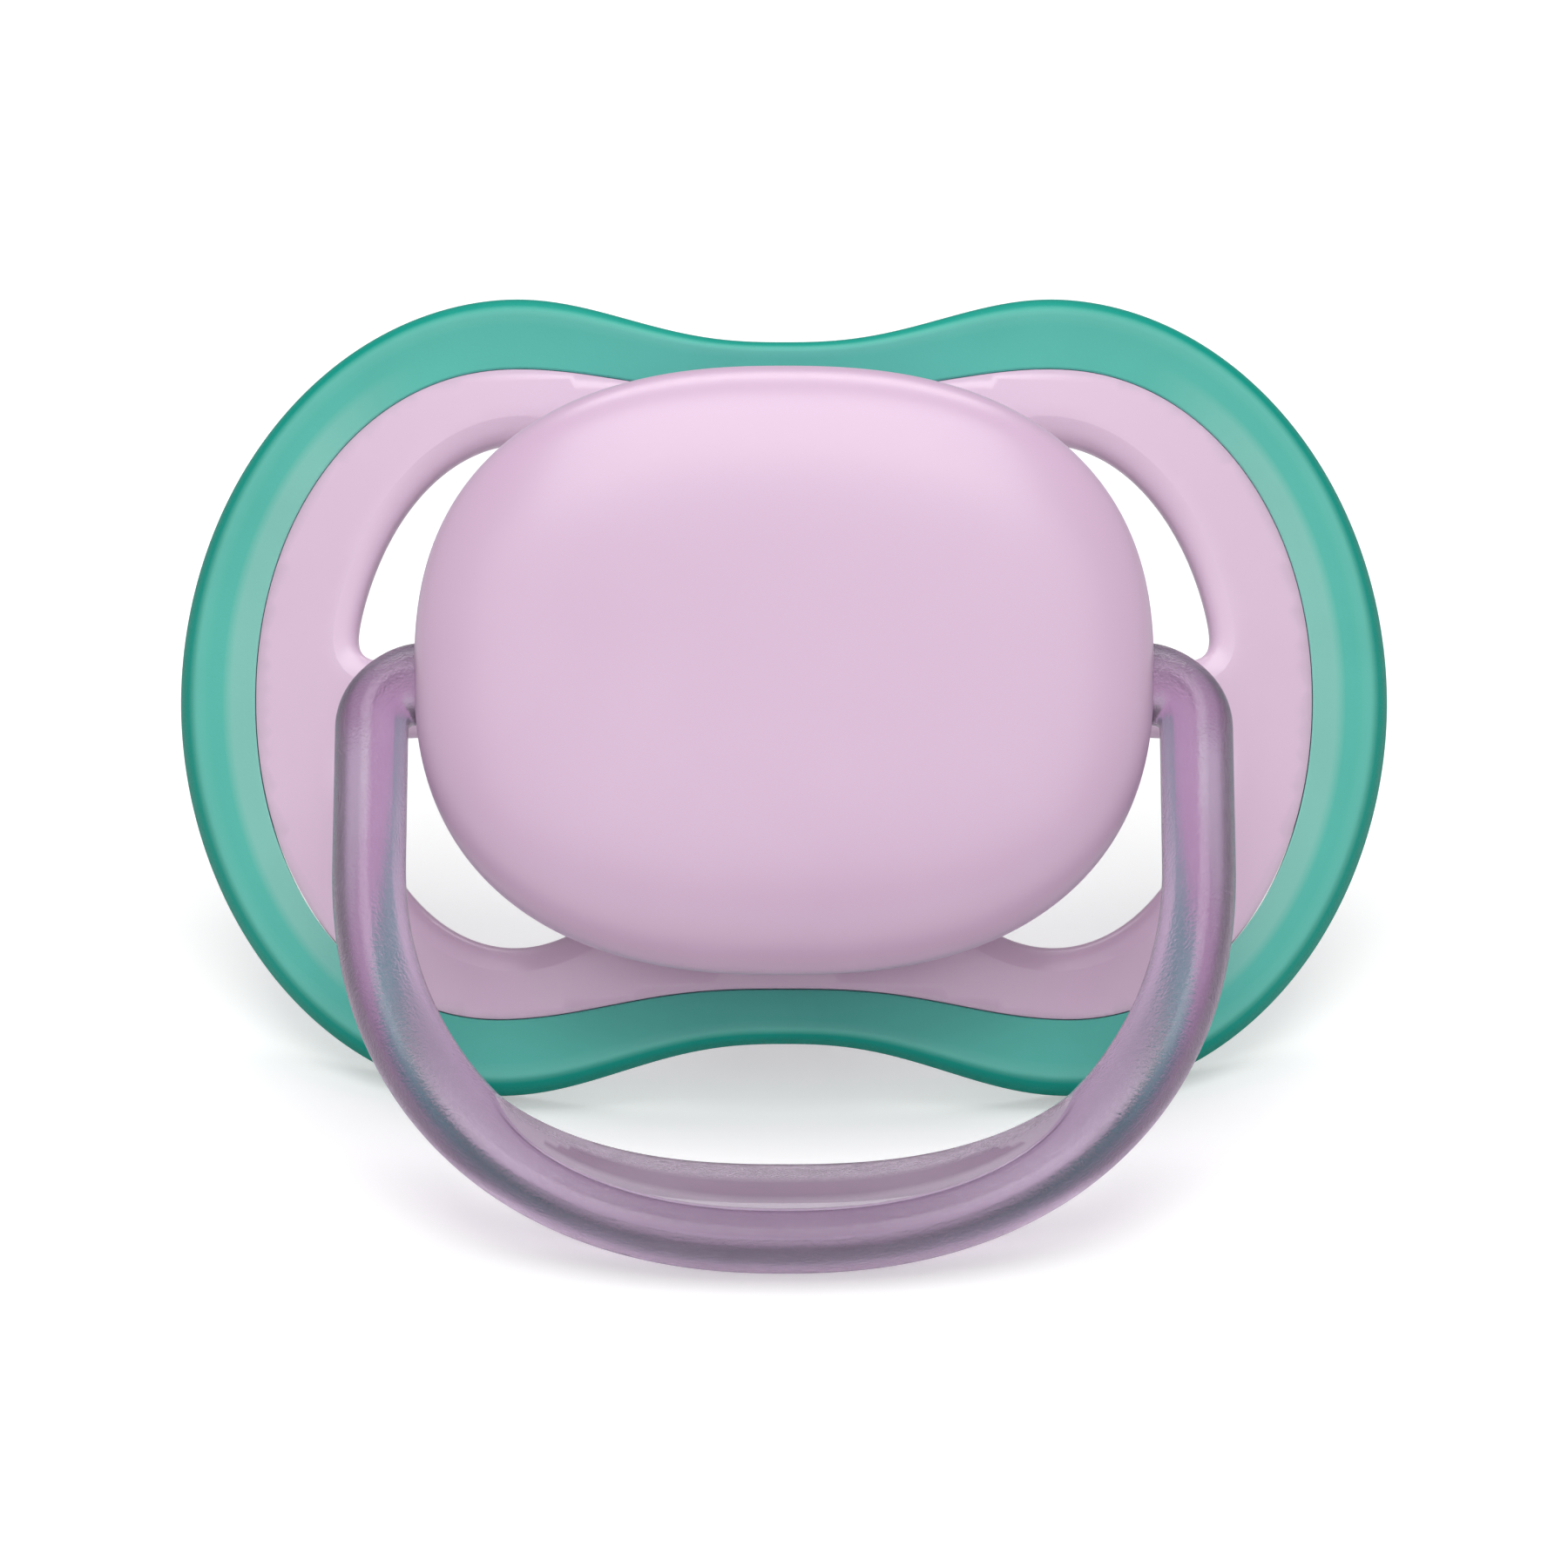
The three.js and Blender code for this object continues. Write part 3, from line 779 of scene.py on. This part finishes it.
def makeTeat():
    mesh = startMesh()
    t = teatShape
    halfWidth, halfHeight, halfLength = t["bulb"]
    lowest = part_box("teat")[0].z
    lean = buttonAxis.z
    reachDown = hypot(halfHeight * sqrt(1 - lean ** 2), halfLength * lean) * mm
    bulbOut = (lowest + reachDown - shieldMiddle.z) / lean / mm  # the bulb just rests on the table
    innerHeight, innerLength = halfHeight - t["wall"], halfLength - t["tipWall"]
    arc = np.linspace(t["bulbStart"], pi / 2, t["bulbSteps"])
    outerBulb = [(halfHeight * cos(a), bulbOut - halfLength * sin(a)) for a in arc]
    innerBulb = [(innerHeight * cos(a), bulbOut - innerLength * sin(a)) for a in arc]
    outerNeck = smoothThrough([*t["outerNeck"], outerBulb[0]], t["neckSteps"])
    innerNeck = smoothThrough([*t["innerNeck"], innerBulb[0]], t["neckSteps"])
    neck, bore, flange = t["outerNeck"][0][0], t["innerNeck"][0][0], t["flange"]
    front, back, edge, fillet = t["flangeFront"], t["flangeBack"], t["flangeEdge"], t["fillet"]
    lip = [(bore, front), (flange - edge, front), (flange, front - edge), (flange, back + edge)]
    foot = [(flange - edge, back), (neck + fillet, back), (neck, back - fillet)]
    profile = [*innerBulb[::-1], *innerNeck[::-1][1:], *lip, *foot, *outerNeck, *outerBulb[1:]]
    rings = []
    for ring, (_, out) in zip(tubeRings(profile, t["steps"]), profile):
        widen = 1 + (halfWidth / halfHeight - 1) * smoothStep(t["widenFrom"], -bulbOut, -out)
        rings.append(ring * np.array([widen, 1, 1]))
    addGrid(mesh, rings)
    finishPiece("teatSilicone", mesh, faceFrame, "soother", ["teat"], clearSilicone)


plugShape = {
    # radius and height: the stem, then the head that holds the teat's flange
    "profile": [(0, -3), (2.6, -3), (3.1, -2.2), (3.1, 1.8), (7.8, 1.8), (8.1, 2.0), (8.1, 2.8),
                (7.9, 3), (0, 3)],
    "steps": 72,
}


def makeTeatPlug():
    mesh = startMesh()
    addGrid(mesh, tubeRings(plugShape["profile"], plugShape["steps"]))
    finishPiece("teatPlug", mesh, faceFrame, "soother", ["teat_plug"], plugPlastic)


makeTeat()
makeTeatPlug()

ringShape = {
    "halfWidth": 19.85, "elbow": 2.2, "straight": 9, "reach": 27.95, "fullness": 2.25,
    "trunnion": 2.05, "trunnionEnd": 14.4,
    "pinFade": (17.05, 19.35),  # the round pin turns into the bar's own section between these
    "pinDepth": 3,  # above this depth below the hinge
    "bendDepth": 22,  # and the bar has its wider section by this depth
    "landHalfLength": 15,
    "landWindow": 0.26,  # the land's own flat, as a share of a corner's spacing
    "grooveWindow": 0.45, "grooveFade": 5,
    "bandHalfLength": 12, "bandFrom": 0.28, "bandTo": 0.60,  # a deeper band along the land: painted reflection
    "bandTaper": 0.25,
    "flank": (-1.45, -0.75),  # the outer side's deeper tone, partly painted shade, fades out between these
    "steps": 520, "flatSteps": 6, "partSteps": 60, "bottomSteps": 600,
}
# across the bar: inward of the centre line, out of the ring's plane, corner radius
armCorners = [
    (-1.80, -0.30, 0.7), (-1.62, 0.75, 0.7), (-1.05, 1.66, 0.5), (-0.42, 2.03, 0.16),
    (0.05, 2.05, 0.16), (0.72, 1.72, 0.3), (1.16, 1.30, 0.1), (1.22, 1.20, 0.1), (1.72, 0.35, 0.2),
    (1.80, -0.30, 0.3), (1.62, -1.30, 0.6), (0.95, -1.95, 0.6), (0, -2.10, 0.6),
    (-0.95, -1.98, 0.6), (-1.60, -1.35, 0.6),
]
# the same corners where the bar widens inward, beside the thumb land
bendCorners = [
    (-1.80, -0.50, 0.7), (-1.72, 0.60, 0.7), (-1.38, 1.56, 0.5), (-0.95, 1.96, 0.2),
    (-0.51, 2.03, 0.2), (0.30, 1.80, 0.4), (1.20, 1.33, 0.3), (1.60, 1.02, 0.2), (1.85, 0.72, 0.2),
    (2.20, -0.20, 0.3), (2.00, -1.10, 0.6), (1.30, -1.90, 0.6), (0, -2.10, 0.6),
    (-0.95, -1.98, 0.6), (-1.60, -1.38, 0.6),
]
# and at the middle of the land: ridge, groove, the land's crisp edge, slope, inner tip
landCorners = [
    (-1.80, -0.50, 0.7), (-1.72, 0.60, 0.7), (-1.38, 1.56, 0.5), (-0.98, 2.00, 0.12),
    (-0.55, 2.06, 0.12), (0.12, 1.82, 0.15), (0.36, 1.68, 0.05), (0.54, 1.42, 0.05), (0.66, 1.46, 0.04),
    (3.50, -0.20, 0.06), (3.35, -0.90, 0.4), (2.30, -1.85, 0.6), (0, -2.10, 0.6),
    (-0.95, -1.98, 0.6), (-1.60, -1.40, 0.6),
]
landCorner = 8  # the land runs from this corner to the next
creaseCorners = (5, 6, 7, 8)  # these reach the land's edge soon after its tip
creaseReach = 0.12  # in this share of the land's half length
grooveCorner = 7  # the groove under the land's edge takes the flank's deeper tone: painted shade in the groove


def ringLine():
    # the centre line as x and depth below the hinge, from one trunnion's end round to the other's
    r = ringShape
    wide, elbow, straight, count = r["halfWidth"], r["elbow"], r["straight"], r["partSteps"]
    pin = np.stack([np.linspace(r["trunnionEnd"], wide - elbow, count), np.zeros(count)], 1)
    a = np.linspace(0, pi / 2, count)[1:]
    turn = np.stack([wide - elbow + elbow * np.sin(a), elbow - elbow * np.cos(a)], 1)
    arm = np.stack([np.full(count, wide), np.linspace(elbow, straight, count + 1)[1:]], 1)
    b = np.linspace(0, pi / 2, r["bottomSteps"])[1:]
    bottom = superellipse(b, wide, r["reach"] - straight, r["fullness"]) + np.array([0, straight])
    half = np.vstack([pin, turn, arm, bottom])
    other = half[::-1][1:] * np.array([-1, 1])
    return evenly(np.vstack([half, other]), r["steps"], closed=False)


def blend(a, b, t):
    return np.asarray(a) * (1 - t) + np.asarray(b) * t


def barCorners(x, depth):
    # the bar's corners at a place on the ring, and how far the land has risen there
    r = ringShape
    bar = blend(armCorners, bendCorners, smoothStep(r["straight"], r["bendDepth"], depth))
    if depth < r["straight"] or abs(x) > r["landHalfLength"]:
        return bar, 0.0
    fromTip = 1 - abs(x) / r["landHalfLength"]
    rise = 1 - (1 - fromTip) ** 2
    crease = 1 - exp(-fromTip / creaseReach)
    shares = [crease if k in creaseCorners else rise for k in range(len(bar))]
    return np.array([blend(a, b, t) for a, b, t in zip(bar, landCorners, shares)]), rise


def makeRingHandle():
    mesh = startMesh()
    r = ringShape
    line = ringLine()
    tangent = np.gradient(line, axis=0)
    tangent /= np.linalg.norm(tangent, axis=1)[:, None]
    inward = np.stack([-tangent[:, 1], tangent[:, 0]], 1)
    if inward[len(line) // 2][1] > 0:
        inward = -inward
    rings, lands, flanks, bands = [], [], [], []
    for (x, depth), inner in zip(line, inward):
        corners, rise = barCorners(x, depth)
        profile, edge = roundedProfile(corners[:, :2], corners[:, 2], straight=r["flatSteps"])
        # the outer side's deeper tone is partly painted shade; the groove's is painted shade
        flank = np.array([1 - smoothStep(*r["flank"], p[0]) for p in profile])
        onGroove = np.abs(edge - grooveCorner) < r["grooveWindow"]
        flanks.append(np.where(onGroove, min(1, r["grooveFade"] * rise), flank))
        pin = 1 - smoothStep(*r["pinFade"], abs(x)) if depth < r["pinDepth"] else 0
        angle = np.arctan2(profile[:, 1], profile[:, 0])
        circle = r["trunnion"] * np.stack([np.cos(angle), np.sin(angle)], 1)
        profile = blend(profile, circle, pin)
        flat = np.array([x, -depth]) + profile[:, :1] * np.array([inner[0], -inner[1]])
        rings.append(np.column_stack([flat, profile[:, 1]]))
        onLand = np.abs(edge - (landCorner + 0.5)) < r["landWindow"]
        lands.append(np.where(onLand & (rise > 0), 1.0, 0.0))
        top, tip = corners[landCorner, 0], corners[landCorner + 1, 0]
        share = (profile[:, 0] - top) / max(1e-6, tip - top)
        # the band along the land is a painted reflection
        bandEnd = 1 - r["bandTaper"] * np.abs(share - r["bandFrom"]) / (1 - r["bandFrom"])
        onBand = (share > r["bandFrom"]) & (share < r["bandTo"]) & (abs(x) < r["bandHalfLength"] * bandEnd)
        bands.append(np.where(onLand & onBand, 1.0, 0.0))
    ends = [np.repeat(ring.mean(0)[None], len(ring), 0) for ring in (rings[0], rings[-1])]
    rings = [ends[0], *rings, ends[1]]
    marks = {"landMark": lands, "flankMark": flanks, "bandMark": bands}
    marks = {name: np.array([rows[0], *rows, rows[-1]]) for name, rows in marks.items()}
    addGrid(mesh, rings, marks=marks)
    finishPiece("ringHandle", mesh, ringFrame, "handle", ["ring_handle"], lilacPlastic)


makeRingHandle()


def cutBores(button):
    # the ring's trunnions turn in two blind bores in the button's sides
    b = buttonShape
    bores = startMesh()
    a = np.linspace(0, 2 * pi, b["boreSteps"], endpoint=False)
    near, far = b["boreEnds"]
    for side in (-1, 1):
        rings = []
        for radius, x in [(0, near), (b["boreRadius"], near), (b["boreRadius"], far), (0, far)]:
            up = hingeOnFace.y + radius * np.cos(a)
            out = hingeOnFace.z + radius * np.sin(a)
            rings.append(np.column_stack([np.full(len(a), side * x), up, out]))
        addGrid(bores, rings)
    cutter = bpy.data.objects.new("boreCutter", buildMesh("boreCutter", bores, faceFrame))
    scene.collection.objects.link(cutter)
    cut = button.modifiers.new("bores", "BOOLEAN")
    cut.object = cutter
    cut.operation = "DIFFERENCE"
    cut.solver = "EXACT"
    bpy.context.view_layer.update()
    shaped = bpy.data.meshes.new_from_object(button.evaluated_get(bpy.context.evaluated_depsgraph_get()))
    button.modifiers.clear()
    button.data = shaped
    bpy.data.objects.remove(cutter)
    print("bores cut:", len(shaped.polygons), "faces")


cutBores(frontButton)

# floor, light and camera, in metres
studio = {
    "floorColour": (0.80, 0.80, 0.80, 1),
    "floorHalf": 3,
    "floorLift": 0.38,  # keeps the paper white around the soft shadow
    "fade": (0.15, 0.6),  # and brightens it to plain white between these distances
    "world": 0.16,
    "top": {"from": (0.0, -0.13, 0.62), "aim": (0.0, -0.13, 0.0), "size": (0.58, 0.46), "power": 2.5},
    "back": {"from": (0.0, 0.38, 0.46), "aim": (0.0, -0.025, 0.003), "size": (0.5, 0.17), "power": 1.0},
    "front": {"from": (0.0, -0.70, 0.60), "aim": (0.0, 0.0, 0.02), "size": (1.5, 0.9), "power": 4.0},
}
cameraView = {
    "aim": (0, -0.00134, 0.0143), "elevation": 26.8, "distance": 0.42,
    "lens": 198.2, "sensor": 36,
}


def makeFloor():
    data = bpy.data.meshes.new("floor")
    half = studio["floorHalf"]
    corners = [(-half, -half, 0), (half, -half, 0), (half, half, 0), (-half, half, 0)]
    data.from_pydata(corners, [], [(0, 1, 2, 3)])
    material, tree, shader = startMaterial("whitePaper")
    shader.inputs["Base Color"].default_value = studio["floorColour"]
    shader.inputs["Roughness"].default_value = 1
    shader.inputs["Specular IOR Level"].default_value = 0
    shader.inputs["Emission Color"].default_value = (1, 1, 1, 1)
    place = addNode(tree, "ShaderNodeTexCoord")
    away = addNode(tree, "ShaderNodeVectorMath", operation="LENGTH")
    tree.links.new(place.outputs["Object"], away.inputs[0])
    fade = addNode(tree, "ShaderNodeMapRange")
    labels = ("From Min", "From Max", "To Min", "To Max")
    for label, value in zip(labels, (*studio["fade"], studio["floorLift"], 1)):
        fade.inputs[label].default_value = value
    tree.links.new(away.outputs["Value"], fade.inputs["Value"])
    path = addNode(tree, "ShaderNodeLightPath")
    lift = addNode(tree, "ShaderNodeMath", operation="MULTIPLY")
    tree.links.new(fade.outputs["Result"], lift.inputs[1])
    tree.links.new(path.outputs["Is Camera Ray"], lift.inputs[0])
    tree.links.new(lift.outputs[0], shader.inputs["Emission Strength"])
    data.materials.append(material)
    floor = bpy.data.objects.new("floor", data)
    scene.collection.objects.link(floor)


def lookAt(thing, place, aim):
    thing.location = place
    thing.rotation_euler = (Vector(aim) - thing.location).to_track_quat("-Z", "Y").to_euler()
    scene.collection.objects.link(thing)


def addSoftbox(name, settings):
    light = bpy.data.lights.new(name, "AREA")
    light.shape = "RECTANGLE"
    light.size, light.size_y = settings["size"]
    light.energy = settings["power"]
    lookAt(bpy.data.objects.new(name, light), settings["from"], settings["aim"])


def makeStudio():
    makeFloor()
    world = bpy.data.worlds.new("studio")
    world.use_nodes = True
    tree = world.node_tree
    background = tree.nodes["Background"]
    background.inputs["Color"].default_value = (1, 1, 1, 1)
    path = addNode(tree, "ShaderNodeLightPath")
    strength = addNode(tree, "ShaderNodeMath", operation="MAXIMUM")  # plain white to the eye
    strength.inputs[1].default_value = studio["world"]
    tree.links.new(path.outputs["Is Camera Ray"], strength.inputs[0])
    tree.links.new(strength.outputs[0], background.inputs["Strength"])
    scene.world = world
    for name in ("top", "front", "back"):
        addSoftbox(name + "Softbox", studio[name])
    scene.view_settings.view_transform = "Standard"


def makeCamera():
    c = cameraView
    camera = bpy.data.cameras.new("camera")
    camera.lens = c["lens"]
    camera.sensor_width = c["sensor"]
    lift = radians(c["elevation"])
    scene.camera = bpy.data.objects.new("camera", camera)
    place = Vector(c["aim"]) + c["distance"] * Vector((0, -cos(lift), sin(lift)))
    lookAt(scene.camera, place, c["aim"])


makeStudio()
makeCamera()
print("studio ready")
